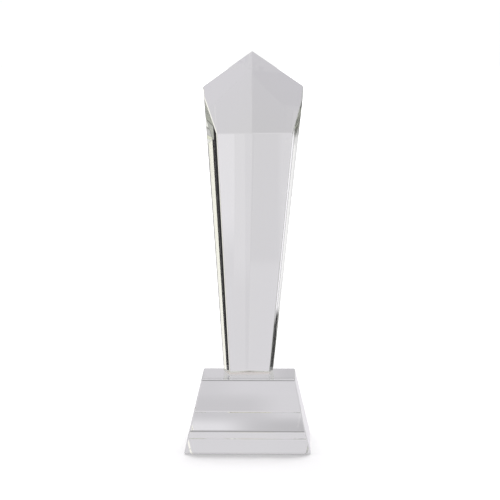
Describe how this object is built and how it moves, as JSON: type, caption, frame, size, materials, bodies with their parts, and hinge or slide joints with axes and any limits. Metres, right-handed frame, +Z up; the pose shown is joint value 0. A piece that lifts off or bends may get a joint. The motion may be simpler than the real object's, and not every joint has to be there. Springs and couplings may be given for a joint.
{
  "type": "crystal award",
  "caption": "Clear crystal award: a tapered, ridge-backed blade with a slanted gabled top, bonded upright on a block base with a sloped front.",
  "frame": {"origin": "middle of the base's underside, on the table", "axes": "+Z up, the fronts of base and blade look along -Y, +X to the viewer's right"},
  "size_m": [0.0798, 0.0792, 0.25],
  "materials": {
    "base_crystal": "clear optical crystal, polished all over",
    "blade_crystal": "clear optical crystal, polished all over, faint green tint in long paths",
    "bond_adhesive": "thin cured clear adhesive, slightly straw coloured"
  },
  "bodies": {
    "root": {"crystal_base": "base_crystal", "crystal_blade": "blade_crystal", "bond_film": "bond_adhesive"}
  },
  "joints": []
}
